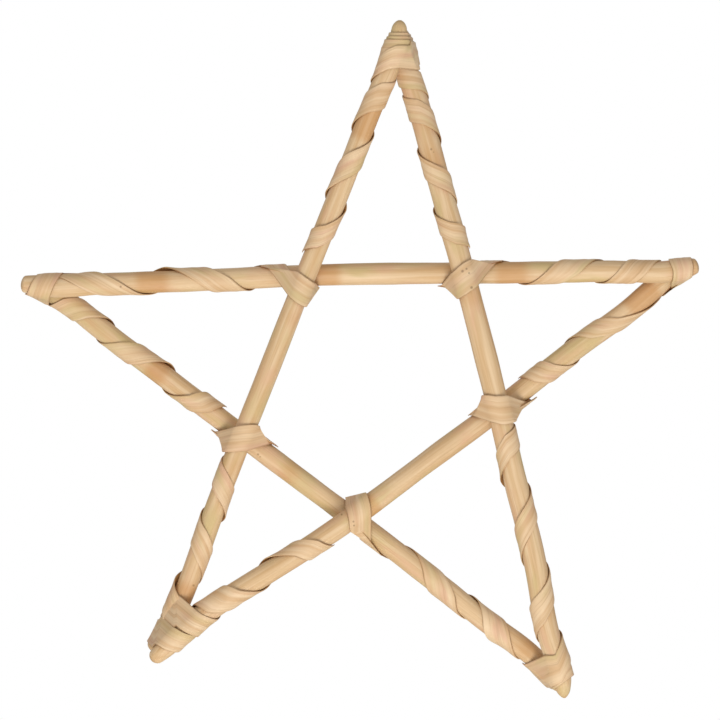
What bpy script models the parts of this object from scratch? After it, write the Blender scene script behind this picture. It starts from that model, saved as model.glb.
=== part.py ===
"""A hanging star of peeled willow rods, crossed over and under each other, with flat peeled strips
wound round the points, over the crossings and round the tips.

Metres, +Z up. The star stands upright in the XZ plane with its front towards -Y. The origin is where
it hangs: the notch under the bound top tip, where the two upper rods part.
"""

import math

import bmesh
import bpy
import numpy as np

# Driving dimensions
STAR_WIDTH = 0.400
LEFT_RIGHT_RADIUS = 0.0064
TOP_BOTTOM_LEFT_RADIUS = 0.0061
TOP_BOTTOM_RIGHT_RADIUS = 0.0067
LEFT_BOTTOM_RIGHT_RADIUS = 0.0063
RIGHT_BOTTOM_LEFT_RADIUS = 0.0064
ROD_END_SHARE = 0.62
ROD_TAPER_LENGTH = 0.016
ROD_ROUNDING = 0.0030
STRIP_WIDTH = 0.0135
STRIP_THICKNESS = 0.0008
GAP = 0.0003
TURN_GAP = 0.0022

# How finely the curves are cut into flats
ROD_SIDES = 10
ROD_RINGS = 26
CAP_RINGS = 3
STEPS_PER_TURN = 14
PATH_SAMPLES = 240

# Places in the star's plane, to the right of and above the hang point, as shares of the star's width
UPPER_LEFT = (-0.1344, -0.2849)
UPPER_RIGHT = (0.0973, -0.2813)
LOWER_LEFT = (-0.2280, -0.5225)
LOWER_RIGHT = (0.1488, -0.4829)
BOTTOM = (-0.0681, -0.6426)

# Each rod runs from one end over two crossings to its other end: place in the plane, then how far
# back it lies there, counted in rod thicknesses.
RODS = {
    "rod_left_right": dict(
        radius=LEFT_RIGHT_RADIUS,
        stops=(
            ((-0.5548, -0.2971), 0.0), ((-0.5134, -0.3012), 0.03), ((-0.4506, -0.2984), 0.12),
            ((-0.3542, -0.2946), 0.28), (UPPER_LEFT, 0.5), (UPPER_RIGHT, 0.5),
            ((0.2440, -0.2797), 0.34), ((0.3407, -0.2793), 0.15), ((0.4035, -0.2787), 0.03),
            ((0.4438, -0.2699), 0.0),
        ),
    ),
    "rod_top_bottom_left": dict(
        radius=TOP_BOTTOM_LEFT_RADIUS,
        stops=(
            ((0.0037, 0.0893), -0.85), ((0.0005, 0.0607), -0.82), ((-0.0258, -0.0119), -0.72),
            ((-0.0707, -0.1255), -0.59), (UPPER_LEFT, -0.5), ((-0.1914, -0.4305), -0.52),
            (LOWER_LEFT, -0.5), ((-0.2817, -0.6653), -0.32), ((-0.3185, -0.7631), -0.15),
            ((-0.3457, -0.8176), 0.05), ((-0.3593, -0.8410), 0.1),
        ),
    ),
    "rod_top_bottom_right": dict(
        radius=TOP_BOTTOM_RIGHT_RADIUS,
        stops=(
            ((0.0077, 0.0795), 0.25), ((0.0070, 0.0574), 0.2), ((0.0243, -0.0141), 0.02),
            ((0.0526, -0.1152), -0.25), (UPPER_RIGHT, -0.5), (LOWER_RIGHT, -0.5),
            ((0.1784, -0.6084), -0.5), ((0.2069, -0.7320), -0.51), ((0.2203, -0.8065), -0.52),
            ((0.2411, -0.8791), -0.54), ((0.2456, -0.9069), -0.55),
        ),
    ),
    "rod_left_bottom_right": dict(
        radius=LEFT_BOTTOM_RIGHT_RADIUS,
        stops=(
            ((-0.5502, -0.2980), 1.1), ((-0.5172, -0.3071), 1.07), ((-0.4581, -0.3476), 0.93),
            ((-0.3623, -0.4205), 0.68), (LOWER_LEFT, 0.5), ((-0.1450, -0.5851), 0.5), (BOTTOM, 0.5),
            ((0.0921, -0.7655), 0.53), ((0.1310, -0.7959), 0.52), ((0.1789, -0.8298), 0.5),
            ((0.2261, -0.8738), 0.53), ((0.2445, -0.8974), 0.55),
        ),
    ),
    "rod_right_bottom_left": dict(
        radius=RIGHT_BOTTOM_LEFT_RADIUS,
        stops=(
            ((0.4382, -0.2720), 1.1), ((0.4103, -0.2828), 1.07), ((0.3508, -0.3290), 0.98),
            ((0.2780, -0.3827), 0.88), (LOWER_RIGHT, 0.5), ((0.0634, -0.5453), 0.0), (BOTTOM, -0.5),
            ((-0.1961, -0.7256), -0.82), ((-0.2900, -0.7874), -0.9), ((-0.3349, -0.8267), -0.98),
            ((-0.3609, -0.8511), -1.0),
        ),
    ),
}

# Each strip winds along one length of rod, from the tip that it starts at to the first crossing.
# turns says where it crosses the front of the rod, as shares of that length, and its first is turn 0.
# Where it starts as a binding round both rods of the tip, binding gives the turns before that: which
# turn, from the one that it begins at, and how far along the length. Where there is a band, a last
# turn goes round both rods of the crossing, and band says how far beyond the crossing its middle
# lies, at four quarter turns, as shares of the strip's width. first is the climb of the turn before
# turn 0, as a share of the length, where it isn't that of the next one. hand is 1 where the strip runs
# clockwise down the rod, seen from the tip, and -1 otherwise. width and band_width are shares of the
# strip's width too.
STRIPS = {
    "wrap_left_upper": dict(
        rod="rod_left_right", tip=0, mate="rod_left_bottom_right", mate_tip=0, over="rod_top_bottom_left",
        hand=1, binding=(), turns=(0.27, 0.67), band=(-1.35, -0.645, -0.35, -0.05), width=1.12,
        band_width=0.9,
    ),
    "wrap_left_lower": dict(
        rod="rod_left_bottom_right", tip=0, mate="rod_left_right", mate_tip=0, over="rod_top_bottom_left",
        hand=-1, binding=((-1.5, 0.050), (-1.25, 0.058), (-1.0, 0.071), (-0.75, 0.086)),
        turns=(0.214, 0.484, 0.80), band=None, width=1.0,
    ),
    "wrap_top_left": dict(
        rod="rod_top_bottom_left", tip=0, mate="rod_top_bottom_right", mate_tip=0, over="rod_left_right",
        hand=1, binding=((-2.5, 0.070), (-2.0, 0.078), (-1.25, 0.140), (-1.0, 0.156), (-0.75, 0.204)),
        turns=(0.30, 0.566, 0.85), band=None, width=0.98,
    ),
    "wrap_top_right": dict(
        rod="rod_top_bottom_right", tip=0, mate="rod_top_bottom_left", mate_tip=0, over="rod_left_right",
        hand=-1, binding=(), turns=(0.21, 0.348, 0.610, 0.84), band=None, width=0.92,
    ),
    "wrap_right_upper": dict(
        rod="rod_left_right", tip=-1, mate="rod_right_bottom_left", mate_tip=0, over="rod_top_bottom_right",
        hand=-1, binding=((-1.5, 0.060), (-1.0, 0.068)), turns=(0.278, 0.570),
        band=(-0.91, -0.26, 0.065, 0.20), width=1.0, band_width=0.9,
    ),
    "wrap_right_lower": dict(
        rod="rod_right_bottom_left", tip=0, mate="rod_left_right", mate_tip=-1, over="rod_top_bottom_right",
        hand=1, binding=(), turns=(0.45, 0.76), first=0.42, band=None, width=1.08,
    ),
    "wrap_bottom_left_outer": dict(
        rod="rod_top_bottom_left", tip=-1, mate="rod_right_bottom_left", mate_tip=-1,
        over="rod_left_bottom_right",
        hand=-1, binding=(), turns=(0.19, 0.508, 0.775), band=(-0.20, -0.46, -0.06, 0.16),
        width=1.0, band_width=0.9,
    ),
    "wrap_bottom_left_inner": dict(
        rod="rod_right_bottom_left", tip=-1, mate="rod_top_bottom_left", mate_tip=-1,
        over="rod_left_bottom_right",
        hand=1, binding=((-2.6, 0.100), (-2.25, 0.108), (-2.0, 0.135), (-1.0, 0.241), (-0.75, 0.264)),
        turns=(0.380, 0.78), band=None, width=1.05,
    ),
    "wrap_bottom_right_inner": dict(
        rod="rod_left_bottom_right", tip=-1, mate="rod_top_bottom_right", mate_tip=-1,
        over="rod_right_bottom_left",
        hand=1, binding=(), turns=(0.334, 0.598), band=(-0.72, -0.39, -0.06, 0.10), width=1.1,
        band_width=0.9,
    ),
    "wrap_bottom_right_outer": dict(
        rod="rod_top_bottom_right", tip=-1, mate="rod_left_bottom_right", mate_tip=-1,
        over="rod_right_bottom_left",
        hand=1, binding=((-2.5, 0.096), (-2.0, 0.100), (-1.0, 0.118)), turns=(0.320, 0.606, 0.87),
        band=(-0.25, -0.32, 0.0, 0.50), width=0.92, band_width=0.95,
    ),
}

# Where the strips begin and end, in turns from a front crossing, and how far a plain strip's last
# turn climbs, as a share of the turn before
PLAIN_BEGIN = 0.30
PLAIN_END = 0.27
BAND_END = 0.36
ENDING_PITCH = 0.5
# How much wider along the rod a steep strip may get, and how fast its edges give way to a neighbour
MOST_SLANT = 2.0
TRIM_EASE = 0.25
EVENING_ROUNDS = 3
# A binding lies over other strips' ends and comes down to the rod in its last part of a turn. A band
# starts under the other rod's strips, rises over them at once, and goes up again where it comes back
# over itself: turns from its beginning, then layers.
BINDING_LAYERS = 1.5
BINDING_EASE = 0.1
BAND_EASE = 0.15
BAND_TURNS = (0.0, 0.1, 0.75, 0.95)
BAND_LAYERS = (0.0, 1.0, 1.0, 3.0)

ROD_COLOUR = (0.72, 0.49, 0.27, 1.0)
STRIP_COLOUR = (0.76, 0.54, 0.31, 1.0)
WOOD_ROUGHNESS = 0.55
SHARP_EDGE = math.radians(40)

FRONT = np.array((0.0, -1.0, 0.0))
IN_PLANE = np.array((1.0, 0.0, 1.0))
TURN = 2 * math.pi
QUARTER = TURN / 4
LAYER = STRIP_THICKNESS + GAP
ROD_SPACING = 2 * max(rod["radius"] for rod in RODS.values()) + GAP
# A strip's flats touch the round that they enclose at their middles, with room for a slanting cut.
SLANT_ROOM = 1.2
ROUND_THE_FLATS = 1 / math.cos(SLANT_ROOM * TURN / STEPS_PER_TURN / 2)


def unit(vector):
    return vector / np.linalg.norm(vector, axis=-1, keepdims=True)


def sideways(heading):
    """The direction across a heading in the star's plane: down for one that runs to the right."""
    return unit(np.stack([heading[..., 2], np.zeros(heading.shape[:-1]), -heading[..., 0]], axis=-1))


def natural_spline(points, samples):
    """A smooth curve through the points: cubic pieces whose slope and bend match at each point, with
    no bend at the two ends, run at a pace set by the distances between the points."""
    spans = np.linalg.norm(np.diff(points, axis=0), axis=1)
    knots = np.concatenate(([0.0], np.cumsum(spans)))
    count = len(points)
    system = np.eye(count)
    right = np.zeros_like(points)
    for i in range(1, count - 1):
        system[i, i - 1 : i + 2] = spans[i - 1], 2 * (spans[i - 1] + spans[i]), spans[i]
        rise_after = (points[i + 1] - points[i]) / spans[i]
        rise_before = (points[i] - points[i - 1]) / spans[i - 1]
        right[i] = 6 * (rise_after - rise_before)
    bends = np.linalg.solve(system, right)
    at = np.linspace(0.0, knots[-1], samples)
    piece = np.clip(np.searchsorted(knots, at, side="right") - 1, 0, count - 2)
    span = spans[piece][:, None]
    before = (knots[piece + 1] - at)[:, None] / span
    after = (at - knots[piece])[:, None] / span
    bend = (before**3 - before) * bends[piece] + (after**3 - after) * bends[piece + 1]
    return before * points[piece] + after * points[piece + 1] + bend * span**2 / 6


class Rod:
    """A rod's centre line, measured along from one of its two ends, and its thickness."""

    def __init__(self, name, tip):
        plan = RODS[name]
        stops = [(x * STAR_WIDTH, back * ROD_SPACING, z * STAR_WIDTH) for (x, z), back in plan["stops"]]
        line = natural_spline(np.array(stops), PATH_SAMPLES)
        self.line = line if tip == 0 else line[::-1]
        steps = np.linalg.norm(np.diff(self.line, axis=0), axis=1)
        self.along = np.concatenate(([0.0], np.cumsum(steps)))
        self.slope = unit(np.gradient(self.line, self.along, axis=0))
        self.full_radius = plan["radius"]

    def read(self, rows, along):
        return np.stack([np.interp(along, self.along, column) for column in rows.T], axis=-1)

    def point(self, along):
        return self.read(self.line, along)

    def heading(self, along):
        return unit(self.read(self.slope, along))

    def radius(self, along):
        """Full all the way, but for a taper towards each end."""
        from_end = np.minimum(along, self.along[-1] - along)
        share = np.clip(from_end / ROD_TAPER_LENGTH, 0.0, 1.0)
        return self.full_radius * (ROD_END_SHARE + (1 - ROD_END_SHARE) * share * (2 - share))

    def nearest(self, place):
        """How far along the centre line is where it passes closest to a place in the star's plane."""
        return self.along[np.argmin(np.hypot(self.line[:, 0] - place[0], self.line[:, 2] - place[1]))]

    def round_at(self, along, angle, radius):
        """The point at a radius from the centre line, at an angle from its front to its side."""
        heading = self.heading(along)
        side = sideways(heading)
        front = unit(np.cross(side, heading))
        front = front * np.sign(front @ FRONT)[..., None]
        out = np.cos(angle)[..., None] * front + np.sin(angle)[..., None] * side
        return self.point(along) + radius[..., None] * out

    def furthest(self, cut, height, out, lift):
        """The point of the rod, raised by lift, that reaches furthest towards out, among those in a
        plane across the cut's axis at a height along it."""
        origin, axis = cut
        heights = (self.line - origin) @ axis
        order = np.argsort(heights)
        along = np.interp(height, heights[order], self.along[order])
        heading = self.heading(along)
        slant = (heading @ axis)[..., None]
        normal = unit(out - (out * heading).sum(-1, keepdims=True) / slant * axis)
        point = self.point(along) + (ROUND_THE_FLATS * (self.full_radius + lift))[..., None] * normal
        return point + (height - (point - origin) @ axis)[..., None] / slant * heading


def round_both(first, second, cut, height, angle, lift):
    """Points on a taut skin round two rods, in rows that lie on one rod each: the one that reaches
    further in the row's direction, in the plane across the cut's axis at its middle height."""
    out = np.cos(angle)[..., None] * FRONT + np.sin(angle)[..., None] * sideways(cut[1])
    middle = height.mean(axis=1, keepdims=True)
    ahead = first.furthest(cut, middle, out, 0 * middle) - second.furthest(cut, middle, out, 0 * middle)
    on_first = (ahead * out).sum(-1, keepdims=True) >= 0
    return np.where(on_first, *(rod.furthest(cut, height, out, lift) for rod in (first, second)))


def even_steps(start, stop, per_turn):
    """Turns from start up to but without stop, at even steps no longer than a share of a turn."""
    return np.linspace(start, stop, max(math.ceil((stop - start) * per_turn), 0), endpoint=False)


def band_steps(to_front):
    """The turns, from where it crosses the front, that a band's four heights are for."""
    return np.arange(4) / 4 - (0.5 if to_front > 0.5 else 0.25)


def shared_place(name, other):
    """Where two rods cross, in the star's plane."""
    places = {place for place, _ in RODS[name]["stops"]}
    (place,) = [place for place, _ in RODS[other]["stops"] if place in places]
    return np.array(place) * STAR_WIDTH


def strip_corners(plan):
    """The strip's cross-sections, each four points: underneath, its edge on the tip's side and its
    other edge, then the same two on top."""
    rod = Rod(plan["rod"], plan["tip"])
    mate = Rod(plan["mate"], plan["mate_tip"])
    over = Rod(plan["over"], 0)
    crossing = shared_place(plan["rod"], plan["over"])
    reach = rod.nearest(crossing)
    middle = reach / 2

    # The side of the rod that faces out of the star, as the angle's sign, and how much of a turn the
    # strip makes from there to the front
    outer = math.copysign(1.0, (rod.point(middle) - mate.point(middle)) @ sideways(rod.heading(middle)))
    to_front = 0.25 if plan["hand"] * outer < 0 else 0.75

    # How far along the rod it lies at which turn, counting its first front crossing on one rod as 0
    binding = [(turn, reach * share) for turn, share in plan["binding"]]
    last = len(plan["turns"]) - 1
    fronts = reach * np.array(plan["turns"])
    width = STRIP_WIDTH * plan["width"]
    before = binding or [(-1.0, fronts[0] - reach * plan.get("first", plan["turns"][1] - plan["turns"][0]))]
    tail = ENDING_PITCH * (fronts[-1] - fronts[-2])
    band = STRIP_WIDTH * np.array(plan["band"] or ())
    if len(band):
        tail = reach + np.interp(0.0, band_steps(to_front), band) - fronts[-1]
    counts = np.array([*(turn for turn, _ in before), *range(last + 2)])
    places = np.array([*(place for _, place in before), *fronts, fronts[-1] + tail])

    # The turns that it makes: round both rods of the tip, round its own, round both of the crossing
    begin = counts[0] if binding else -PLAIN_BEGIN
    end = last + 1 + BAND_END if len(band) else last + PLAIN_END
    tip_end = -to_front if binding else begin
    band_begin = last + 1 - to_front if len(band) else end
    turns = np.concatenate((
        even_steps(begin, tip_end, 2 * STEPS_PER_TURN),
        even_steps(tip_end, band_begin, STEPS_PER_TURN),
        even_steps(band_begin, end, 2 * STEPS_PER_TURN),
        [end],
    ))
    angle = plan["hand"] * TURN * turns[:, None]
    tip_axis = unit((rod.heading(middle) + mate.heading(middle)) * IN_PLANE)
    over_heading = over.heading(over.nearest(crossing))
    over_heading = over_heading * np.sign(over_heading @ rod.heading(reach))
    band_axis = unit((rod.heading(reach) + over_heading) * IN_PLANE)
    binding_part = (turns < tip_end, mate, (rod.point(0.0) * IN_PLANE, tip_axis))
    band_part = (turns > band_begin, over, (np.array((crossing[0], 0.0, crossing[1])), band_axis))

    # Round two rods it climbs by the way that it goes, not by the angle, so it runs straight between them.
    progress = turns.copy()
    passed = counts[(counts >= begin) & (counts < tip_end)]
    marks = np.array([*passed, tip_end, band_begin, *np.arange(band_begin + 0.25, end, 0.5), end])
    for _ in range(EVENING_ROUNDS):
        along = np.interp(progress, counts, places)[:, None]
        skin = rod.round_at(along, angle, rod.full_radius + 0 * along)
        outside = rod.round_at(along, outer * QUARTER + 0 * angle, rod.full_radius + 0 * along)
        for rows, other, cut in (binding_part, band_part):
            height = (outside[rows] - cut[0]) @ cut[1]
            skin[rows] = round_both(rod, other, cut, height, angle[rows], 0 * height)
        way = np.concatenate(([0.0], np.cumsum(np.linalg.norm(np.diff(skin[:, 0], axis=0), axis=1))))
        by_way = np.interp(way, np.interp(marks, turns, way), marks)
        progress = np.where(binding_part[0] | band_part[0], by_way, turns)

    # The strip's two edges along the rod. Where turns crowd, each is trimmed to its neighbours.
    along = np.interp(progress, counts, places)
    pitch = np.interp(progress + 1, counts, places) - along
    round_rod = TURN * (rod.full_radius + GAP)
    half = width / 2 * np.minimum(np.hypot(round_rod, pitch) / round_rod, MOST_SLANT)
    longer = np.concatenate(([along[0] - 2 * width], along, [along[-1] + 2 * width]))
    counted = np.concatenate(([begin - TRIM_EASE], turns, [end + TRIM_EASE]))
    from_last = along - np.interp(turns - 1, counted, longer)
    to_next = np.interp(turns + 1, counted, longer) - along
    near_edge = along - np.minimum(half, (from_last - TURN_GAP) / 2)
    far_edge = along + np.minimum(half, (to_next - TURN_GAP) / 2)
    place = np.stack([near_edge, far_edge, near_edge, far_edge], axis=1)

    # A binding and a band lie over the ends of other strips.
    layer = np.interp(turns, (tip_end - BINDING_EASE, tip_end), (BINDING_LAYERS, 0.0)) * bool(binding)
    layer += np.interp(turns - band_begin, BAND_TURNS, BAND_LAYERS)
    lift = GAP + LAYER * layer[:, None] + STRIP_THICKNESS * np.array((0, 0, 1, 1))
    radius = ROUND_THE_FLATS * (rod.full_radius + lift)
    corners = rod.round_at(place, angle, radius)
    outside = rod.round_at(place, outer * QUARTER + 0 * angle, radius)
    for rows, other, cut in (binding_part, band_part):
        height = (outside - cut[0]) @ cut[1]
        if other is over and len(band):
            steps = last + 1 + band_steps(to_front)
            edges = STRIP_WIDTH * plan["band_width"] / 2 * np.array((-1, 1, -1, 1))
            final = np.interp(progress, steps, band)[:, None] + edges
            eased = np.interp(progress, (band_begin, band_begin + BAND_EASE), (0.0, 1.0))[:, None]
            height += eased * (final - height)
        corners[rows] = round_both(rod, other, cut, height[rows], angle[rows], lift[rows])
    return corners


def add_solid(name, rings, colour):
    """A closed solid from its cross-sections: rings of points, with the first and last ring filled.
    Both sides of a strip are cut into triangles along the same diagonals, so that they stay apart
    where it twists."""
    count, sides = rings.shape[:2]
    ring, side = np.meshgrid(np.arange(count - 1), np.arange(sides), indexing="ij")
    here = ring * sides + side
    beside = ring * sides + (side + 1) % sides
    ahead = here + sides
    across = beside + sides
    turned = side >= sides / 2
    first = np.stack([here, beside, np.where(turned, ahead, across)], axis=-1).reshape(-1, 3)
    second = np.stack([np.where(turned, beside, here), across, ahead], axis=-1).reshape(-1, 3)
    ends = [list(range(sides))[::-1], list(range((count - 1) * sides, count * sides))]
    shape = bpy.data.meshes.new(name)
    shape.from_pydata(rings.reshape(-1, 3).tolist(), [], first.tolist() + second.tolist() + ends)
    face_out = bmesh.new()
    face_out.from_mesh(shape)
    bmesh.ops.recalc_face_normals(face_out, faces=face_out.faces)
    face_out.to_mesh(shape)
    face_out.free()
    shape.shade_smooth()
    shape.set_sharp_from_angle(angle=SHARP_EDGE)
    material = bpy.data.materials.new(f"{name}_wood")
    material.use_nodes = True
    wood = material.node_tree.nodes["Principled BSDF"].inputs
    wood["Base Color"].default_value = colour
    wood["Roughness"].default_value = WOOD_ROUGHNESS
    wood["Metallic"].default_value = 0.0
    shape.materials.append(material)
    solid = bpy.data.objects.new(name, shape)
    bpy.context.scene.collection.objects.link(solid)


def add_rod(name):
    """A round rod, tapered towards its ends, which are rounded over."""
    rod = Rod(name, 0)
    length = rod.along[-1]
    swell = np.sin(np.arange(1, CAP_RINGS + 1) / CAP_RINGS * QUARTER)
    cap = ROD_ROUNDING * (1 - np.sqrt(1 - swell**2))
    near = np.concatenate((cap, [ROD_TAPER_LENGTH / 2]))
    body = np.linspace(ROD_TAPER_LENGTH, length - ROD_TAPER_LENGTH, ROD_RINGS)
    along = np.concatenate((near, body, length - near[::-1]))
    share = np.concatenate((swell, np.ones(len(body) + 2), swell[::-1]))
    angle = np.linspace(0.0, TURN, ROD_SIDES, endpoint=False)
    spread, around = np.meshgrid(along, angle, indexing="ij")
    radius = (rod.radius(along) * share)[:, None] + 0 * around
    points = rod.round_at(spread.ravel(), around.ravel(), radius.ravel())
    add_solid(name, points.reshape(len(along), ROD_SIDES, 3), ROD_COLOUR)


def add_strip(name):
    """A flat strip with a rectangular section."""
    under_tip, under_far, top_tip, top_far = np.moveaxis(strip_corners(STRIPS[name]), 1, 0)
    add_solid(name, np.stack([under_tip, under_far, top_far, top_tip], axis=1), STRIP_COLOUR)


for leftover in list(bpy.data.objects):
    bpy.data.objects.remove(leftover)
for rod_name in RODS:
    add_rod(rod_name)
for strip_name in STRIPS:
    add_strip(strip_name)
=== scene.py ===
"""The looks of a hanging star of peeled willow: five rods crossed over and under each other, and ten
flat strips wound round its points, over its crossings and round its tips.

Everything is in metres, +Z up. The star stands upright in the XZ plane with its front towards -Y,
and the origin is the notch under the bound top tip, where it hangs.
"""

import math

import bpy
import numpy as np
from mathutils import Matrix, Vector


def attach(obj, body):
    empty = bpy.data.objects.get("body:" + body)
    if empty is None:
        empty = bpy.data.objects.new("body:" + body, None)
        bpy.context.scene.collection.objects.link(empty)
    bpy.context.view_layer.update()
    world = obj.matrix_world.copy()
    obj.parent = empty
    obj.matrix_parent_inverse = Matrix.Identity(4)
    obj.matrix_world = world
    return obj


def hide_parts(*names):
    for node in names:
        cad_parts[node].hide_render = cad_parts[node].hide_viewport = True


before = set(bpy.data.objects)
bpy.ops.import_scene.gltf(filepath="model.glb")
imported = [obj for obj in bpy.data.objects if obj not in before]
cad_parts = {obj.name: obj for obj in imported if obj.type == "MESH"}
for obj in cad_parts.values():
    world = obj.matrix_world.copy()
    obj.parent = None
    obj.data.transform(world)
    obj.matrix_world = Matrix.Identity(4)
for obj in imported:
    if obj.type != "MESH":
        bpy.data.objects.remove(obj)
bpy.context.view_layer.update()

# The studio. The star hangs in front of nothing but white, seen straight on from three metres away,
# over a pale floor that the front view doesn't reach. A large soft light stands low in front of it and
# a weak one above the line of sight, so the upper sides of the rods are a little darker.
STAR_MIDDLE = (-0.02204, 0.0, -0.1639)
VIEW_DISTANCE = 3.0
VIEW_WIDTH = 0.4244
FLOOR_BELOW = 1.95
FLOOR_SIZE = 6.0
WHITE = "#FFFFFF"
FLOOR_GREY = "#E9E8E5"
AMBIENT_STRENGTH = 0.51


def linear(colour, alpha=1.0):
    """The linear values of an sRGB hex colour: straight below a small value, a power of 2.4 above."""
    parts = np.array([int(colour[i : i + 2], 16) / 255 for i in (1, 3, 5)])
    parts = np.where(parts <= 0.04045, parts / 12.92, ((parts + 0.055) / 1.055) ** 2.4)
    return (*parts.tolist(), alpha)


def add_node(tree, kind, inputs=(), **settings):
    """Adds a node. Settings are its own properties, and inputs gives each of its sockets, by name or
    number, a value or the output that it reads."""
    node = tree.nodes.new(kind)
    for name, value in settings.items():
        setattr(node, name, value)
    for name, value in dict(inputs).items():
        if isinstance(value, bpy.types.NodeSocket):
            tree.links.new(value, node.inputs[name])
        else:
            node.inputs[name].default_value = value
    return node


def aim(thing, location, target):
    """Puts a camera or a lamp at a location, turned so that it looks at a target, upright."""
    way = Vector(target) - Vector(location)
    thing.location = location
    thing.rotation_euler = way.to_track_quat("-Z", "Y").to_euler()
    bpy.context.scene.collection.objects.link(thing)


def add_softbox(name, side, up, away, size, power):
    """A square lamp that faces the star's middle from its side, above and in front of it."""
    lamp = bpy.data.lights.new(name, "AREA")
    lamp.shape = "SQUARE"
    lamp.size = size
    lamp.energy = power
    x, y, z = STAR_MIDDLE
    aim(bpy.data.objects.new(name, lamp), (x + side, y - away, z + up), STAR_MIDDLE)


camera = bpy.data.cameras.new("camera")
camera.sensor_width = 36.0
camera.lens = camera.sensor_width * VIEW_DISTANCE / VIEW_WIDTH
camera_object = bpy.data.objects.new("camera", camera)
aim(camera_object, (STAR_MIDDLE[0], -VIEW_DISTANCE, STAR_MIDDLE[2]), STAR_MIDDLE)
bpy.context.scene.camera = camera_object
bpy.context.scene.view_settings.view_transform = "Standard"

add_softbox("key_light", side=0.05, up=-1.55, away=1.8, size=1.5, power=45.0)
add_softbox("fill_light", side=-0.3, up=0.5, away=2.4, size=1.8, power=4.0)

surroundings = bpy.data.worlds.new("surroundings")
surroundings.use_nodes = True
sky = surroundings.node_tree
sky.nodes.clear()
seen = add_node(sky, "ShaderNodeLightPath").outputs["Is Camera Ray"]
ambient = add_node(sky, "ShaderNodeBackground", {"Color": linear(WHITE), "Strength": AMBIENT_STRENGTH})
plain_white = add_node(sky, "ShaderNodeBackground", {"Color": linear(WHITE), "Strength": 1.0})
either = add_node(sky, "ShaderNodeMixShader", {0: seen, 1: ambient.outputs[0], 2: plain_white.outputs[0]})
add_node(sky, "ShaderNodeOutputWorld", {"Surface": either.outputs[0]})
bpy.context.scene.world = surroundings

floor_mesh = bpy.data.meshes.new("floor")
corners = FLOOR_SIZE / 2 * np.array(((-1, -1), (1, -1), (1, 1), (-1, 1)))
floor_mesh.from_pydata([(x, y, -FLOOR_BELOW) for x, y in corners.tolist()], [], [(0, 1, 2, 3)])
floor_paint = bpy.data.materials.new("matt_floor_paint")
floor_paint.use_nodes = True
floor_paint.node_tree.nodes["Principled BSDF"].inputs["Base Color"].default_value = linear(FLOOR_GREY)
floor_paint.node_tree.nodes["Principled BSDF"].inputs["Roughness"].default_value = 0.9
floor_mesh.materials.append(floor_paint)
floor = bpy.data.objects.new("floor", floor_mesh)
bpy.context.scene.collection.objects.link(floor)

# The five rods, of one or two years' willow growth, peeled and dried. Each is bowed a little where it
# was bent over and under the others, has a few bud scars, and is pared down towards its two ends,
# which are tucked together at the star's tips.
STAR_WIDTH = 0.400
ROD_SPACING = 0.0137
MM = 0.001
TURN = 2 * math.pi
QUARTER = TURN / 4
FRONT = np.array((0.0, -1.0, 0.0))

# Places in the star's plane, to the right of and above the hang point, as shares of its width
UPPER_LEFT = (-0.1344, -0.2849)
UPPER_RIGHT = (0.0973, -0.2813)
LOWER_LEFT = (-0.2280, -0.5225)
LOWER_RIGHT = (0.1488, -0.4829)
BOTTOM = (-0.0681, -0.6426)

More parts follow.
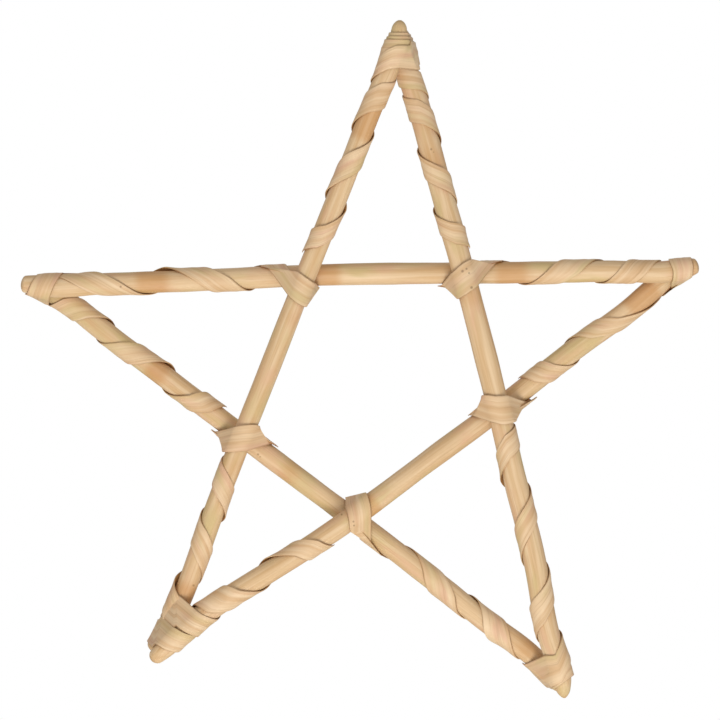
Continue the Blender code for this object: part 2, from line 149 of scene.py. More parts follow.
# Each rod runs from the first tip in its name over two crossings to the other: place in the plane, then
# how far back it lies there, in rod thicknesses. Each end has the share of the thickness left there,
# and in metres the length of its taper and of its rounding.
RODS = {
    "rod_left_right": dict(
        radius=0.0064, ends=((0.72, 0.016, 0.0022), (0.60, 0.014, 0.0018)),
        stops=(
            ((-0.5548, -0.2971), 0.0), ((-0.5134, -0.3012), 0.03), ((-0.4506, -0.2984), 0.12),
            ((-0.3542, -0.2946), 0.28), (UPPER_LEFT, 0.5), (UPPER_RIGHT, 0.5),
            ((0.2440, -0.2797), 0.34), ((0.3407, -0.2793), 0.15), ((0.4035, -0.2787), 0.03),
            ((0.4438, -0.2699), 0.0),
        ),
    ),
    "rod_top_bottom_left": dict(
        radius=0.0061, ends=((0.60, 0.024, 0.0048), (0.92, 0.012, 0.0035)),
        stops=(
            ((0.0037, 0.0893), -0.85), ((0.0005, 0.0607), -0.82), ((-0.0258, -0.0119), -0.72),
            ((-0.0707, -0.1255), -0.59), (UPPER_LEFT, -0.5), ((-0.1914, -0.4305), -0.52),
            (LOWER_LEFT, -0.5), ((-0.2817, -0.6653), -0.32), ((-0.3185, -0.7631), -0.15),
            ((-0.3457, -0.8176), 0.05), ((-0.3593, -0.8410), 0.1),
        ),
    ),
    "rod_top_bottom_right": dict(
        radius=0.0067, ends=((0.50, 0.024, 0.0030), (0.36, 0.020, 0.0045)),
        stops=(
            ((0.0077, 0.0795), 0.25), ((0.0070, 0.0574), 0.2), ((0.0243, -0.0141), 0.02),
            ((0.0526, -0.1152), -0.25), (UPPER_RIGHT, -0.5), (LOWER_RIGHT, -0.5),
            ((0.1784, -0.6084), -0.5), ((0.2069, -0.7320), -0.51), ((0.2203, -0.8065), -0.52),
            ((0.2411, -0.8791), -0.54), ((0.2456, -0.9069), -0.55),
        ),
    ),
    "rod_left_bottom_right": dict(
        radius=0.0063, ends=((0.60, 0.016, 0.0030), (0.50, 0.018, 0.0030)),
        stops=(
            ((-0.5502, -0.2980), 1.1), ((-0.5172, -0.3071), 1.07), ((-0.4581, -0.3476), 0.93),
            ((-0.3623, -0.4205), 0.68), (LOWER_LEFT, 0.5), ((-0.1450, -0.5851), 0.5), (BOTTOM, 0.5),
            ((0.0921, -0.7655), 0.53), ((0.1310, -0.7959), 0.52), ((0.1789, -0.8298), 0.5),
            ((0.2261, -0.8738), 0.53), ((0.2445, -0.8974), 0.55),
        ),
    ),
    "rod_right_bottom_left": dict(
        radius=0.0064, ends=((0.50, 0.018, 0.0030), (0.58, 0.018, 0.0032)),
        stops=(
            ((0.4382, -0.2720), 1.1), ((0.4103, -0.2828), 1.07), ((0.3508, -0.3290), 0.98),
            ((0.2780, -0.3827), 0.88), (LOWER_RIGHT, 0.5), ((0.0634, -0.5453), 0.0), (BOTTOM, -0.5),
            ((-0.1961, -0.7256), -0.82), ((-0.2900, -0.7874), -0.9), ((-0.3349, -0.8267), -0.98),
            ((-0.3609, -0.8511), -1.0),
        ),
    ),
}


def unit(vector):
    """A vector's direction, at length 1."""
    return vector / np.linalg.norm(vector, axis=-1, keepdims=True)


def sideways(heading):
    """The direction across a heading in the star's plane: down for one that runs to the right."""
    return unit(np.stack([heading[..., 2], np.zeros(heading.shape[:-1]), -heading[..., 0]], axis=-1))


def way_along(line):
    """How far along a line each of its points is: the sum of the steps before it."""
    return np.concatenate(([0.0], np.cumsum(np.linalg.norm(np.diff(line, axis=0), axis=1))))


def natural_spline(points, samples):
    """A smooth curve through the points: cubic pieces whose slope and bend match at each point, with
    no bend at the two ends, run at a pace set by the distances between the points."""
    spans = np.linalg.norm(np.diff(points, axis=0), axis=1)
    knots = way_along(points)
    inner = np.arange(1, len(points) - 1)
    system = np.eye(len(points))
    system[inner, inner - 1] = spans[:-1]
    system[inner, inner] = 2 * (spans[:-1] + spans[1:])
    system[inner, inner + 1] = spans[1:]
    rises = np.diff(points, axis=0) / spans[:, None]
    bends = np.linalg.solve(system, np.pad(6 * np.diff(rises, axis=0), ((1, 1), (0, 0))))
    at = np.linspace(0.0, knots[-1], samples)
    piece = np.clip(np.searchsorted(knots, at, side="right") - 1, 0, len(spans) - 1)
    span = spans[piece][:, None]
    before = (knots[piece + 1] - at)[:, None] / span
    after = (at - knots[piece])[:, None] / span
    bend = (before**3 - before) * bends[piece] + (after**3 - after) * bends[piece + 1]
    return before * points[piece] + after * points[piece + 1] + bend * span**2 / 6


def waves(seed, at, shortest, longest, count=7):
    """An uneven line between about -1 and 1: the mean of sines of chance lengths and starts."""
    chance = np.random.default_rng(seed)
    lengths = chance.uniform(shortest, longest, count)
    starts = chance.uniform(0.0, TURN, count)
    at = np.asarray(at)[..., None]
    return np.sin(TURN * at / lengths + starts).sum(axis=-1) * math.sqrt(2 / count) / 2


def smooth_step(low, high, value):
    """0 below low and 1 above high, with an even S-shaped rise between."""
    share = np.clip((value - low) / (high - low), 0.0, 1.0)
    return share * share * (3 - 2 * share)


class Rod:
    """A rod's centre line, measured along from the named tip or else from its first, and its
    thickness. The line is a spline through its stops."""

    LINE_SAMPLES = 400

    def __init__(self, name, tip=None):
        plan = RODS[name]
        from_first = tip is None or name.startswith(f"rod_{tip}_")
        stops = [(x * STAR_WIDTH, back * ROD_SPACING, z * STAR_WIDTH) for (x, z), back in plan["stops"]]
        line = natural_spline(np.array(stops), self.LINE_SAMPLES)
        self.line = line if from_first else line[::-1]
        self.along = way_along(self.line)
        self.slope = unit(np.gradient(self.line, self.along, axis=0))
        self.full_radius = plan["radius"]
        self.ends = plan["ends"] if from_first else plan["ends"][::-1]

    def read(self, rows, along):
        return np.stack([np.interp(along, self.along, column) for column in rows.T], axis=-1)

    def point(self, along):
        return self.read(self.line, along)

    def heading(self, along):
        return unit(self.read(self.slope, along))

    def radius(self, along):
        """Full all the way, but for a taper towards each end that eases in as a parabola."""
        share = np.ones(np.shape(along))
        for from_end, (left, length, _) in zip((along, self.along[-1] - along), self.ends):
            way = np.clip(from_end / length, 0.0, 1.0)
            share = np.minimum(share, left + (1 - left) * way * (2 - way))
        return self.full_radius * share

    def nearest(self, spot):
        """How far along the centre line is where it passes closest to a spot in the star's plane."""
        return self.along[np.argmin(np.hypot(self.line[:, 0] - spot[0], self.line[:, 2] - spot[1]))]

    def round_at(self, along, angle, lift):
        """The point that lies a lift above the rod's skin, at an angle from its front to its side."""
        heading = self.heading(along)
        side = sideways(heading)
        front = unit(np.cross(side, heading))
        front = front * np.sign(front @ FRONT)[..., None]
        out = np.cos(angle)[..., None] * front + np.sin(angle)[..., None] * side
        return self.point(along) + (self.radius(along) + lift)[..., None] * out

    def furthest(self, cut, height, out, lift):
        """The point of the rod, raised by lift, that reaches furthest towards out, among those in a
        plane across the cut's axis at a height along it."""
        origin, axis = cut
        heights = (self.line - origin) @ axis
        order = np.argsort(heights)
        along = np.interp(height, heights[order], self.along[order])
        heading = self.heading(along)
        slant = (heading @ axis)[..., None]
        normal = unit(out - (out * heading).sum(-1, keepdims=True) / slant * axis)
        point = self.point(along) + (self.radius(along) + lift)[..., None] * normal
        return point + (height - (point - origin) @ axis)[..., None] / slant * heading


def add_surface(name, rings, **marks):
    """A closed skin over rings of points, its first and last ring filled. Each mark is a value or a
    vector for each point, kept as an attribute that the material reads."""
    count, sides = rings.shape[:2]
    ring, side = np.meshgrid(np.arange(count - 1), np.arange(sides), indexing="ij")
    here = ring * sides + side
    beside = ring * sides + (side + 1) % sides
    faces = np.stack([here, beside, beside + sides, here + sides], axis=-1).reshape(-1, 4)
    ends = np.array([range(sides)[::-1], range((count - 1) * sides, count * sides)])
    corner = rings[:-1]
    faced = np.cross(np.roll(corner, -1, axis=1) - corner, rings[1:] - corner)
    way = 1 if (faced * (corner - corner.mean(axis=1, keepdims=True))).sum() > 0 else -1
    shape = bpy.data.meshes.new(name)
    shape.from_pydata(rings.reshape(-1, 3).tolist(), [], faces[:, ::way].tolist() + ends[:, ::way].tolist())
    for mark, values in marks.items():
        kind = "FLOAT_VECTOR" if values.ndim == 3 else "FLOAT"
        layer = shape.attributes.new(mark, kind, "POINT")
        layer.data.foreach_set("vector" if values.ndim == 3 else "value", values.astype(np.float32).ravel())
    shape.shade_smooth()
    shape.set_sharp_from_angle(angle=math.radians(45))
    piece = bpy.data.objects.new(name, shape)
    bpy.context.scene.collection.objects.link(piece)
    return piece


# Bud scars: to the right of and above the hang point, as shares of the star's width, then in
# millimetres how far in front of its middle plane they are and their size. The depth counts for a fifth
# only, so that a scar comes out on whichever surface lies there, and its core is as dark as it gets.
SCARS = (
    (0.0952, -0.2795, 14, 1.2), (0.1011, -0.2761, 14, 0.9), (0.1048, -0.2823, 14, 0.8),
    (0.1084, -0.3035, 14, 1.2), (-0.4073, -0.3020, 6, 1.0), (-0.2054, -0.5490, 0, 1.0),
    (-0.2024, -0.5526, 0, 0.8), (-0.2997, -0.7411, 9, 1.0), (-0.3218, -0.7883, 6, 0.9),
    (-0.0647, -0.6468, 14, 0.9), (-0.0639, -0.6527, 14, 0.8), (-0.0822, -0.6365, 12, 0.9),
    (0.3442, -0.2947, 6, 0.9), (0.0495, -0.1002, 8, 1.0), (0.0530, -0.1045, 8, 0.7),
    (-0.0345, -0.0862, 16, 0.8), (0.2010, -0.4460, 0, 0.9), (0.1700, -0.7100, 12, 0.8),
)
DEPTH_COUNTS = 0.2
SCAR_CORE = 0.3
SCAR_STRENGTH = 0.5
FIBRE_RELIEF = 0.12 * MM


def peeled_willow(name, pale, mid, warm, green, edge, aged, knot):
    """Dried willow without its bark: a fine silky grain along the growth, in bands and patches of
    honey, pink and greenish tan. Air-dried edges, aged stretches and a strip's inner side are browner,
    and along a strip's edges the edge colour also stands in as painted shade. It is smooth where the
    bark came away, so it has a low satin sheen. Every scale is a real size in millimetres: growth bands
    3.2 wide and 70 long, patches 7 to 11 wide and 26 to 38 long, and fibres that are drawn 0.7 wide and
    30 long, coarser than real ones, so that they show."""
    material = bpy.data.materials.new(name)
    material.use_nodes = True
    tree = material.node_tree
    surface = tree.nodes["Principled BSDF"]

    def read(attribute, output):
        return add_node(tree, "ShaderNodeAttribute", attribute_name=attribute).outputs[output]

    def noise(length_mm, across_mm, detail, rough=0.55):
        """Noise stretched along the fibres, which run along the first axis of the fibre attribute."""
        scale = (1 / (length_mm * MM), 1 / (across_mm * MM), 1 / (across_mm * MM))
        stretched = add_node(tree, "ShaderNodeMapping", {"Vector": read("fibre", "Vector"), "Scale": scale})
        return add_node(tree, "ShaderNodeTexNoise", {
            "Vector": stretched.outputs[0], "Scale": 1.0, "Detail": detail, "Roughness": rough,
        }).outputs["Fac"]

    def ramp(value, low, high):
        return add_node(tree, "ShaderNodeMapRange", {
            "Value": value, "From Min": low, "From Max": high,
        }, interpolation_type="SMOOTHSTEP").outputs[0]

    def blend(share, colour, other):
        return add_node(tree, "ShaderNodeMix", {0: share, 6: colour, 7: other}, data_type="RGBA").outputs[2]

    def times(value, factor):
        return add_node(tree, "ShaderNodeMath", {0: value, 1: factor}, operation="MULTIPLY").outputs[0]

    bands = noise(70, 3.2, 2.0)
    fibres = noise(30, 0.7, 3.0)
    patches = noise(38, 11, 2.0)
    other_patches = noise(26, 7, 2.0, 0.45)
    colour = blend(ramp(bands, 0.22, 0.78), linear(pale), linear(mid))
    colour = blend(times(ramp(patches, 0.50, 0.72), 0.75), colour, linear(green))
    colour = blend(times(ramp(other_patches, 0.52, 0.74), 0.70), colour, linear(warm))
    colour = blend(times(ramp(fibres, 0.52, 0.80), 0.30), colour, linear(edge))
    colour = blend(read("aged", "Fac"), colour, linear(aged))
    # The edge mark: browned cut ends on a rod, and on a strip browned edges with painted shade in them, the
    # dark lines where an edge stands off
    colour = blend(read("edge", "Fac"), colour, linear(edge))
    place = add_node(tree, "ShaderNodeTexCoord").outputs["Object"]
    flattened = {0: place, 1: (1.0, DEPTH_COUNTS, 1.0)}
    place = add_node(tree, "ShaderNodeVectorMath", flattened, operation="MULTIPLY").outputs[0]
    for x, z, forward, size in SCARS:
        spot = (x * STAR_WIDTH, -DEPTH_COUNTS * forward * MM, z * STAR_WIDTH)
        away = add_node(tree, "ShaderNodeVectorMath", {0: place, 1: spot}, operation="DISTANCE")
        near = ramp(away.outputs["Value"], size * MM, SCAR_CORE * size * MM)
        colour = blend(times(near, SCAR_STRENGTH), colour, linear(knot))
    tree.links.new(colour, surface.inputs["Base Color"])
    roughness = add_node(tree, "ShaderNodeMapRange", {
        "Value": fibres, "From Min": 0.3, "From Max": 0.7, "To Min": 0.46, "To Max": 0.62,
    }).outputs[0]
    tree.links.new(roughness, surface.inputs["Roughness"])
    surface.inputs["IOR"].default_value = 1.5
    surface.inputs["Specular IOR Level"].default_value = 0.4
    ridges = {"Height": fibres, "Strength": 0.35, "Distance": FIBRE_RELIEF}
    relief = add_node(tree, "ShaderNodeBump", ridges)
    tree.links.new(relief.outputs[0], surface.inputs["Normal"])
    return material


rod_wood = peeled_willow(
    "peeled_willow_rod", pale="#EFD0A6", mid="#D8B07E", warm="#E2B58E", green="#D6BD84",
    edge="#A9783F", aged="#C98A45", knot="#6E4018",
)
ROD_SIDES = 40
ROD_STEP = 0.0014
CAP_RINGS = 9
CAP_BEGIN = 0.12
UNEVENNESS = 0.12 * MM
OUT_OF_ROUND = 0.10 * MM
ROD_GRAIN_APART = 0.7
BROWNED_END = 0.0022


def add_rod(index, name):
    """A rod: at each step along its line a circle, a hair out of round and a hair uneven along it,
    that shrinks to a rounded end at both ends as a quarter of an ellipse does."""
    rod = Rod(name)
    length = rod.along[-1]
    cap = np.sin(np.linspace(CAP_BEGIN, 1.0, CAP_RINGS) * QUARTER)
    depth = 1 - np.sqrt(1 - cap**2)
    (*_, rounding), (*_, other_rounding) = rod.ends
    body = np.linspace(rounding, length - other_rounding, int(length / ROD_STEP))[1:-1]
    along = np.concatenate((rounding * depth, body, length - other_rounding * depth[::-1]))
    share = np.concatenate((cap, np.ones(len(body)), cap[::-1]))
    around = np.linspace(0.0, TURN, ROD_SIDES, endpoint=False) + TURN / 2
    spread, angle = np.meshgrid(along, around, indexing="ij")
    uneven = UNEVENNESS * waves(index, spread, 0.02, 0.09)
    uneven = uneven + OUT_OF_ROUND * waves(index + 20, spread, 0.05, 0.15) * np.cos(2 * angle + index)
    radius = rod.radius(spread)
    lift = (share[:, None] - 1) * radius + share[:, None] * uneven
    out = radius + lift
    grain_start = ROD_GRAIN_APART * index
    from_end = np.minimum(spread, length - spread)
    piece = add_surface(
        name, rod.round_at(spread, angle, lift),
        fibre=np.stack([spread + grain_start, out * np.cos(angle), out * np.sin(angle)], axis=-1),
        edge=0.35 * (1 - smooth_step(0.0, BROWNED_END, from_end)),
        aged=0.5 * smooth_step(0.35, 0.9, waves(index + 40, spread, 0.03, 0.12)),
    )
    piece.name = f"{name}_peeled"
    piece.data.materials.append(rod_wood)
    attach(piece, "root")
    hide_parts(name)


for rod_index, rod_name in enumerate(RODS):
    add_rod(rod_index, rod_name)

# The left point. Its strips, like all the others, are flat bands of peeled willow, split and shaved
# to under a millimetre and wound on damp. One binds the tip round both rods and goes on down the
# lower rod, and the other winds along the upper rod and ends as the band over its crossing.
STRIP_WIDTH = 0.0135
STRIP_THICKNESS = 0.0006
GAP = 0.0002
LAYER = STRIP_THICKNESS + GAP
STEPS_PER_TURN = 72
STRIP_STEP = 0.0008
STRIP_GRAIN_APART = 1.3
SIDES_GRAIN_APART = 0.01
# The share by which a strip's inner side, which lies against the rod, is made browner all over
INNER_SIDE_BROWNER = 0.85
IN_PLANE = np.array((1.0, 0.0, 1.0))

# Across a strip from its edge on the tip's side, at -1, to its other edge, with how much of its
# thickness is left there: its edges are rounded off
ACROSS = np.array((-1.0, -0.975, -0.9, -0.72, -0.45, -0.15, 0.15, 0.45, 0.72, 0.9, 0.975, 1.0))
FULLNESS = np.array((0.45, 0.85, 1.0, 1.0, 1.0, 1.0, 1.0, 1.0, 1.0, 1.0, 0.85, 0.45))
NEAR_SIDE = (1 - ACROSS) / 2
FAR_SIDE = (1 + ACROSS) / 2

# Turns before its first front crossing and after its last at which a plain strip begins and ends, and
# after its front crossing at which a band ends. Its last turn on one rod climbs half as fast.
PLAIN_BEGIN = 0.30
PLAIN_END = 0.27
BAND_END = 0.42
ENDING_PITCH = 0.5

# A steep turn covers more of the rod's length, up to this many widths. A width varies by a share, and
# the ends are thinned to a share over a few hundredths of a turn.
MOST_SLANT = 2.0
WIDTH_VARIES = 0.035
END_THINNED = 0.3
END_TURNS = 0.03

# Overlaps, in widths, between which a turn comes to lie on the one before, the steps over which that
# is smoothed, and the power by which a standing edge curls up
LAP_BEGIN = -0.12
LAP_END = 0.02
SMOOTHING = 11
CURL = 2.5

# A band eases in over a part of a turn. It is pinched at its sides, and drawn together behind, between
# two shares of the way from its side to its back.
BAND_EASE = 0.15
BAND_PINCH = 0.08
BAND_NARROWED = 0.38
BEHIND = (-0.15, 0.3)

# A strip's edge colour is darker than a rod's: a browned edge with painted shade in it
strip_wood = peeled_willow(
    "peeled_willow_strip", pale="#F2D4AC", mid="#DAB182", warm="#E2B391", green="#D7BE87",
    edge="#8A5A2A", aged="#C2955A", knot="#5E3212",
)


def round_both(first, second, cut, height, angle, lift, stiff=0.5):
    """Points on a taut skin round two rods, in rows across a strip. In the plane across the cut's axis
    at its height, each lies on the rod that reaches further in the row's direction, where it does so.
    A row whose two ends lie on different rods bridges them: it is straight, and sags towards the skin
    by the share that the strip isn't stiff."""
    out = np.cos(angle)[..., None] * FRONT + np.sin(angle)[..., None] * sideways(cut[1])
    ahead = first.furthest(cut, height, out, 0 * height) - second.furthest(cut, height, out, 0 * height)
    on_first = (ahead * out).sum(-1, keepdims=True) >= 0
    skin = np.where(on_first, *(rod.furthest(cut, height, out, lift) for rod in (first, second)))
    share = (height - height[:, :1]) / np.maximum(height[:, -1:] - height[:, :1], 1e-9)
    bridge = skin[:, :1] + share[..., None] * (skin[:, -1:] - skin[:, :1])
    bridge = bridge - (1 - stiff) * ((bridge - skin) * out).sum(-1, keepdims=True) * out
    return np.where(on_first[:, :1] == on_first[:, -1:], skin, bridge)


def shared_place(name, other):
    """Where two rods cross, in the star's plane."""
    places = {spot for spot, _ in RODS[name]["stops"]}
    (spot,) = [spot for spot, _ in RODS[other]["stops"] if spot in places]
    return np.array(spot) * STAR_WIDTH


def band_steps(to_front):
    """The turns, from where it crosses the front, that a band's four heights are for."""
    return np.arange(4) / 4 - (0.5 if to_front > 0.5 else 0.25)


def climb(rod, outer, shared, angle, at, counts, places, marks):
    """The progress in turns at each turn. On one rod they are the same. Round two rods it is by the way
    that the strip goes, not by the angle, so that it runs straight between them: at a mark it's the
    mark's own, and evenly between. Each round of the loop measures the way that the last one gives."""
    progress = at.copy()
    for _ in range(3):
        along = np.interp(progress, counts, places)[:, None]
        skin = rod.round_at(along, angle, 0 * along)
        outside = rod.round_at(along, outer * QUARTER + 0 * angle, 0 * along)
        for rows, other, cut in shared:
            height = (outside[rows] - cut[0]) @ cut[1]
            skin[rows] = round_both(rod, other, cut, height, angle[rows], 0 * height)
        way = way_along(skin[:, 0])
        by_way = np.interp(way, np.interp(marks, at, way), marks)
        progress = np.where(shared[0][0] | shared[1][0], by_way, at)
    return progress


def lapping(along, half, free):
    """How many layers its near edge is raised by where a turn lies on the one before: one, and by the
    overlapped share of what that one is raised. Free rows aren't raised. A short window smooths it."""
    before = slice(None, -STEPS_PER_TURN)
    after = slice(STEPS_PER_TURN, None)
    overlap = np.zeros_like(along)
    overlap[after] = 1 - (along[after] - along[before]) / (2 * half[after])
    raised = np.zeros_like(along)
    for start in range(STEPS_PER_TURN, len(along), STEPS_PER_TURN):
        now = slice(start, min(start + STEPS_PER_TURN, len(along)))
        earlier = slice(start - STEPS_PER_TURN, now.stop - STEPS_PER_TURN)
        laps = smooth_step(LAP_BEGIN, LAP_END, overlap[now])
        raised[now] = laps * (1 + np.clip(overlap[now], 0, 1) * raised[earlier])
    raised = np.where(free, 0.0, raised)
    window = np.hanning(SMOOTHING) / np.hanning(SMOOTHING).sum()
    return np.convolve(np.pad(raised, SMOOTHING // 2, mode="edge"), window, mode="valid")


def standing_off(index, at, near, far, proud):
    """How far it stands off what it lies on. The marks say it for its near edge, its far edge and all
    of it, and it curls up towards an edge by a power of the share of the width. Waves are added."""
    curls = ((near, NEAR_SIDE**CURL), (far, FAR_SIDE**CURL), (proud, np.ones_like(ACROSS)))
    parts = [np.interp(at, *np.transpose(marks))[:, None] * MM * curl for marks, curl in curls]
    parts.append(UNEVENNESS * waves(index + 200, at[:, None] + 0.35 * ACROSS, 0.15, 0.6))
    return np.maximum(sum(parts), 0.0)


def even_rows(rows, way, step):
    """The same rows of values, read again at even steps of the way that they go."""
    at = np.linspace(0.0, way[-1], max(int(way[-1] / step), 2))
    flat = rows.reshape(len(rows), -1)
    read = np.stack([np.interp(at, way, column) for column in flat.T], axis=-1)
    return read.reshape(len(at), *rows.shape[1:])


def add_strip(index, name, under, top, width):
    """The strip between its two sides, given as rows of points across it, at even steps along."""
    line = way_along(top[:, len(ACROSS) // 2])
    rings = even_rows(np.concatenate([under, top[:, ::-1]], axis=1), line, STRIP_STEP)
    across = np.concatenate([ACROSS, ACROSS[::-1]])
    outside = np.repeat((0.0, 1.0), len(ACROSS))
    run = np.linspace(0.0, line[-1], len(rings))[:, None] + 0 * across
    grain_start = STRIP_GRAIN_APART * (index + 1)
    # How strongly a strip's edges are darkened, browning and painted shade together, varied along it
    edge_brown_and_shade = 0.45 + 0.45 * waves(index + 300, run[:, :1], 0.01, 0.05)
    grain_apart = SIDES_GRAIN_APART * outside + 0 * run
    piece = add_surface(
        name, rings,
        fibre=np.stack([run + grain_start, across * width / 2 + 0 * run, grain_apart], axis=-1),
        edge=smooth_step(0.93, 1.0, np.abs(across)) * edge_brown_and_shade,
        aged=(1 - outside) * INNER_SIDE_BROWNER + 0 * run,
    )
    piece.name = f"{name}_shaved"
    piece.data.materials.append(strip_wood)
    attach(piece, "root")
    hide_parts(name)


def wound_strip(index, name, tip, rod, mate, over, hand, turns, binding=(), band=(), width=1.0,
                band_width=1.0, stiff=0.5, first=None, meets=2.0, near=((0, 0.15),), far=((0, 0.35),),
                proud=((0, 0.0),), grow=((0, 0.0, 0.0),)):
    """A strip wound along a rod from its tip: at each angle round the rod it lies across a length of
    it, and that length moves along as the angle grows, clockwise or not by its hand. turns says where
    it crosses the rod's front, as shares of the length up to the crossing, and first how much of that
    length its first turn takes. Turns that crowd lap, each tilted on the one before.

    A binding goes round the rod and its mate at the tip, at these turns and shares of the length. From
    the share that it meets the mate's own strip at, it lies over that: never, where it is past 1. A
    band goes round the rod and the one that it is over, at these heights in strip widths. Both are a
    taut skin, and the stiffer it is the straighter it bridges. Widths are in strip widths. near, far
    and proud are marks in turns and millimetres: how far its edges and all of it stand off. grow has
    the millimetres by which its near and its far edge are moved out too."""
    crossing = shared_place(rod, over)
    rod, mate, over = Rod(rod, tip), Rod(mate, tip), Rod(over)
    reach = rod.nearest(crossing)
    middle = reach / 2
    outer = math.copysign(1.0, (rod.point(middle) - mate.point(middle)) @ sideways(rod.heading(middle)))
    to_front = 0.25 if hand * outer < 0 else 0.75

    # How far along the rod it lies at which turn, counting its first front crossing on one rod as 0
    last = len(turns) - 1
    fronts = reach * np.array(turns)
    before = [(turn, share * reach) for turn, share in binding]
    before = before or [(-1.0, fronts[0] - (first * reach if first else fronts[1] - fronts[0]))]
    tail = ENDING_PITCH * (fronts[-1] - fronts[-2])
    band_at = STRIP_WIDTH * np.array(band)
    if band:
        tail = reach + np.interp(0.0, band_steps(to_front), band_at) - fronts[-1]
    counts = np.array([*(turn for turn, _ in before), *range(last + 2)])
    places = np.array([*(place for _, place in before), *fronts, fronts[-1] + tail])

    # The turns that it makes: round both rods of the tip, round its own, round both of the crossing
    begin = counts[0] if binding else -PLAIN_BEGIN
    end = last + 1 + BAND_END if band else last + PLAIN_END
    tip_end = -to_front if binding else begin
    band_begin = last + 1 - to_front if band else end
    at = begin + np.arange(int((end - begin) * STEPS_PER_TURN) + 1) / STEPS_PER_TURN
    angle = hand * TURN * at[:, None]
    tip_axis = unit((rod.heading(middle) + mate.heading(middle)) * IN_PLANE)
    over_heading = over.heading(over.nearest(crossing))
    over_heading = over_heading * np.sign(over_heading @ rod.heading(reach))
    band_axis = unit((rod.heading(reach) + over_heading) * IN_PLANE)
    shared = (
        (at < tip_end, mate, (rod.point(0.0) * IN_PLANE, tip_axis)),
        (at > band_begin, over, (np.array((crossing[0], 0.0, crossing[1])), band_axis)),
    )
    marks = [count for count in counts if begin <= count < tip_end] + [tip_end]
    marks = np.array([*marks, band_begin, *np.arange(band_begin + 0.25, end, 0.5), end])
    progress = climb(rod, outer, shared, angle, at, counts, places, marks)

    # Its half width along the rod, and the length of it that each row lies across
    along = np.interp(progress, counts, places)
    pitch = np.interp(progress + 1, counts, places) - along
    round_rod = TURN * (rod.full_radius + LAYER)
    half = STRIP_WIDTH * width / 2 * np.minimum(np.hypot(round_rod, pitch) / round_rod, MOST_SLANT)
    half = half * (1 + WIDTH_VARIES * waves(index + 100, at, 0.3, 1.1))
    grow_turns, *grown = np.transpose(grow)
    nearer, further = (MM * np.interp(at, grow_turns, row)[:, None] for row in grown)
    spread = along[:, None] + half[:, None] * ACROSS - nearer * NEAR_SIDE + further * FAR_SIDE

    # How high it lies: one layer up in a band and two at its end, over the mate's strip in a binding,
    # over itself where it laps, and standing off here and there
    layer = np.interp(at - band_begin, (0.0, 0.1, 0.75, 0.95), (0.0, 1.0, 1.0, 2.0))[:, None]
    over_mate = smooth_step(meets - 0.03, meets, spread / reach)
    layer = layer + over_mate * smooth_step(0.0, 0.2, tip_end - at)[:, None]
    raised = lapping(along, half, at > band_begin)[:, None] * NEAR_SIDE
    base = GAP + LAYER * (layer + raised) + standing_off(index, at, near, far, proud)
    ends = np.minimum(smooth_step(0.0, END_TURNS, at - begin), smooth_step(0.0, END_TURNS, end - at))
    thick = STRIP_THICKNESS * FULLNESS * (END_THINNED + (1 - END_THINNED) * ends[:, None])

    def lay(lift):
        """The points of one side of the strip, at their lifts above the rods."""
        points = rod.round_at(spread, angle, lift)
        outside = rod.round_at(spread, outer * QUARTER + 0 * angle, 0 * lift)
        for rows, other, cut in shared:
            height = (outside - cut[0]) @ cut[1]
            if other is over and band:
                final = np.interp(progress, last + 1 + band_steps(to_front), band_at)[:, None]
                behind = smooth_step(*BEHIND, -np.cos(angle))
                narrowed = BAND_PINCH * np.sin(angle) ** 2 + BAND_NARROWED * behind
                final = final + STRIP_WIDTH * band_width / 2 * ACROSS * (1 - narrowed)
                eased = smooth_step(band_begin, band_begin + BAND_EASE, progress)[:, None]
                height += eased * (final - height)
            points[rows] = round_both(rod, other, cut, height[rows], angle[rows], lift[rows], stiff)
        return points

    add_strip(index, name, lay(base), lay(base + thick), STRIP_WIDTH * width)


wound_strip(
    0, "wrap_left_upper", "left", rod="rod_left_right", mate="rod_left_bottom_right",
    over="rod_top_bottom_left", hand=1, turns=(0.27, 0.67), band=(-1.35, -0.57, -0.04, -0.20),
    width=1.12, stiff=1.0,
    near=((0, 0.1), (0.6, 0.1), (0.75, 1.3), (0.9, 0.2), (1.0, 0.1), (2.0, 0.1)),
    far=((-0.2, 0.5), (0.2, 0.6), (0.5, 0.3), (1.0, 0.5), (1.2, 0.3), (1.4, 0.0)),
    proud=((0.5, 0.0), (0.75, 0.4), (1.0, 0.0), (1.25, 0.3), (1.5, 0.0)),
)
wound_strip(
    1, "wrap_left_lower", "left", rod="rod_left_bottom_right", mate="rod_left_right",
    over="rod_top_bottom_left", hand=-1, turns=(0.214, 0.484, 0.80),
    binding=((-1.5, 0.050), (-1.25, 0.058), (-1.0, 0.071), (-0.75, 0.086)), meets=0.07,
    near=((0.5, 0.1), (1.6, 0.1), (1.75, 0.6), (2.0, 0.5), (2.3, 0.2)),
    far=((-1.0, 0.3), (0.0, 0.2), (0.25, 1.0), (0.5, 0.3), (1.0, 0.3), (1.25, 1.0), (1.5, 0.3), (2.0, 0.5)),
    proud=((1.0, 0.0), (1.25, 0.3), (1.5, 0.0), (2.0, 0.0), (2.25, 0.8)),
)

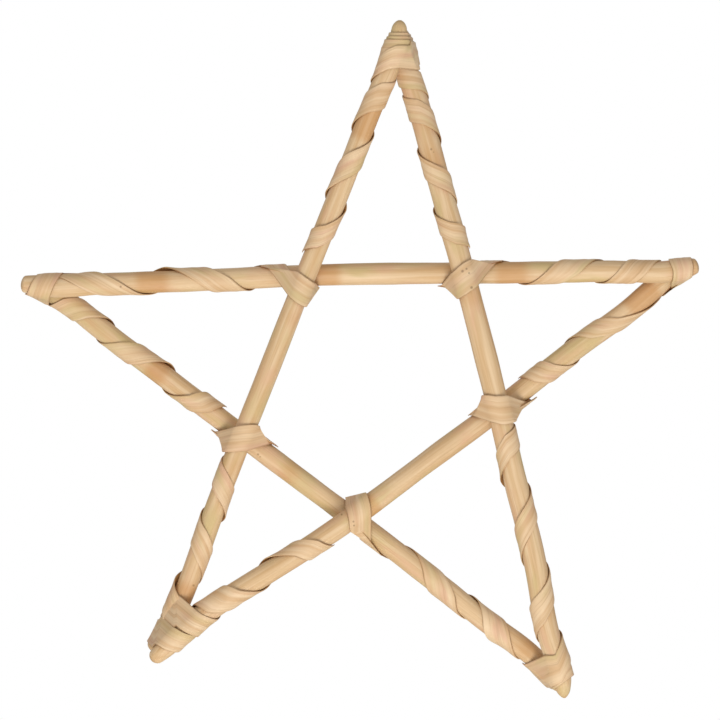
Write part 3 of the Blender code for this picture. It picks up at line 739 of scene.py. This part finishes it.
# The top point, from whose notch the star hangs. One strip binds the tip in crowded turns round both
# rods and goes on down the left rod, and the other winds down the right one.
wound_strip(
    2, "wrap_top_left", "top", rod="rod_top_bottom_left", mate="rod_top_bottom_right",
    over="rod_left_right", hand=1, turns=(0.30, 0.566, 0.85),
    binding=((-4.6, 0.087), (-4.0, 0.090), (-3.0, 0.106), (-2.0, 0.121), (-1.25, 0.124), (-1.0, 0.154),
             (-0.75, 0.204)),
    width=0.98, meets=0.12,
    near=((0.4, 0.1), (0.75, 0.5), (1.0, 0.5), (1.25, 0.2), (1.6, 0.3), (1.75, 1.2), (2.0, 0.5)),
    far=((0.0, 0.2), (0.25, 0.8), (0.5, 0.2), (1.0, 0.2), (1.25, 1.0), (1.5, 0.2), (2.0, 0.2), (2.25, 0.7)),
)
wound_strip(
    3, "wrap_top_right", "top", rod="rod_top_bottom_right", mate="rod_top_bottom_left",
    over="rod_left_right", hand=-1, turns=(0.21, 0.348, 0.610, 0.84), width=0.92,
    near=((1.6, 0.1), (1.75, 0.6), (2.0, 0.5), (2.3, 0.2), (2.75, 0.6), (3.0, 0.5)),
    far=((1.0, 0.2), (1.25, 0.5), (2.0, 0.15), (3.0, 0.15)),
)

# The right point. The upper rod's strip binds the tip and ends as the band over the upper right
# crossing, and the other winds down the lower rod.
wound_strip(
    4, "wrap_right_upper", "right", rod="rod_left_right", mate="rod_right_bottom_left",
    over="rod_top_bottom_right", hand=-1, turns=(0.278, 0.570),
    binding=((-1.5, 0.060), (-1.0, 0.068)), band=(-1.06, -0.20, 0.16, -0.05),
    near=((0.0, 0.1), (1.0, 0.2), (1.25, 0.0)),
    far=((0.0, 0.2), (0.8, 0.3), (1.0, 0.5), (1.2, 0.4), (1.4, 0.0)),
    grow=((-1.6, -2.0, 0.0), (-0.75, -2.0, 0.0), (-0.5, 0.0, 0.0)),
)
wound_strip(
    5, "wrap_right_lower", "right", rod="rod_right_bottom_left", mate="rod_left_right",
    over="rod_top_bottom_right", hand=1, turns=(0.45, 0.76), first=0.63, width=1.08,
    near=((-0.3, 0.3), (-0.2, 0.8), (0.0, 0.2), (0.5, 0.1), (0.75, 0.4), (1.0, 0.3)),
    far=((0.0, 0.15), (1.0, 0.3)),
)

# The bottom left point. The inner rod's strip binds the tip and goes on along it, and the outer rod's
# strip ends as the band over the lower left crossing.
wound_strip(
    6, "wrap_bottom_left_outer", "bottom_left", rod="rod_top_bottom_left", mate="rod_right_bottom_left",
    over="rod_left_bottom_right", hand=-1, turns=(0.19, 0.508, 0.775), band=(-0.40, -0.42, -0.05, 0.20),
    stiff=0.2,
    near=((1.0, 0.1), (1.6, 0.3), (1.75, 1.0), (2.0, 0.3), (2.25, 0.0)),
    far=((0.8, 0.5), (1.0, 0.6), (1.3, 0.4), (2.0, 0.2), (2.25, 0.0)),
    proud=((-0.3, 0.0), (-0.12, 0.4), (0.1, 1.4), (0.25, 1.2), (0.4, 0.2), (0.5, 0.0)),
)
wound_strip(
    7, "wrap_bottom_left_inner", "bottom_left", rod="rod_right_bottom_left", mate="rod_top_bottom_left",
    over="rod_left_bottom_right", hand=1, turns=(0.380, 0.78),
    binding=((-2.6, 0.084), (-2.25, 0.100), (-2.0, 0.130), (-1.75, 0.160), (-1.25, 0.223), (-1.0, 0.241),
             (-0.75, 0.264)),
    width=1.05,
    near=((0.0, 0.4), (0.6, 0.3), (0.75, 1.2), (1.0, 0.2)),
    far=((-2.3, 0.8), (-1.8, 0.6), (-1.5, 0.2), (-0.2, 0.6), (0.0, 0.9), (0.25, 0.6), (1.0, 0.6),
         (1.3, 0.4)),
)

# The bottom right point. The outer rod's strip binds the tip and ends as the band over the lower right
# crossing, and the inner rod's strip ends as the band over the bottom crossing.
wound_strip(
    8, "wrap_bottom_right_inner", "bottom_right", rod="rod_left_bottom_right",
    mate="rod_top_bottom_right", over="rod_right_bottom_left", hand=1, turns=(0.334, 0.598),
    band=(-0.72, -0.37, -0.02, -0.12), width=1.1, band_width=0.95, stiff=1.0,
    near=((0.0, 0.2), (1.0, 0.1), (1.25, 0.0)),
    far=((-0.25, 1.0), (0.0, 0.5), (0.3, 0.4), (1.0, 0.2), (1.25, 0.0)),
)
wound_strip(
    9, "wrap_bottom_right_outer", "bottom_right", rod="rod_top_bottom_right",
    mate="rod_left_bottom_right", over="rod_right_bottom_left", hand=1, turns=(0.320, 0.606, 0.87),
    binding=((-2.5, 0.096), (-2.0, 0.100), (-1.0, 0.116)), band=(-0.22, -0.28, -0.02, 0.60),
    width=0.92, band_width=1.07, stiff=0.2,
    near=((-2.0, 0.2), (-1.75, 1.5), (-1.5, 0.2), (0.0, 0.2), (1.0, 0.15), (1.6, 0.2), (1.75, 1.3),
          (2.0, 0.3), (2.25, 0.0)),
    far=((0.0, 0.4), (0.8, 0.3), (1.0, 1.0), (1.25, 0.5), (2.0, 0.3), (2.25, 0.0)),
    grow=((-1.4, 0.0, 0.0), (-1.27, 0.0, 7.5), (-1.0, 0.0, 0.0)),
)
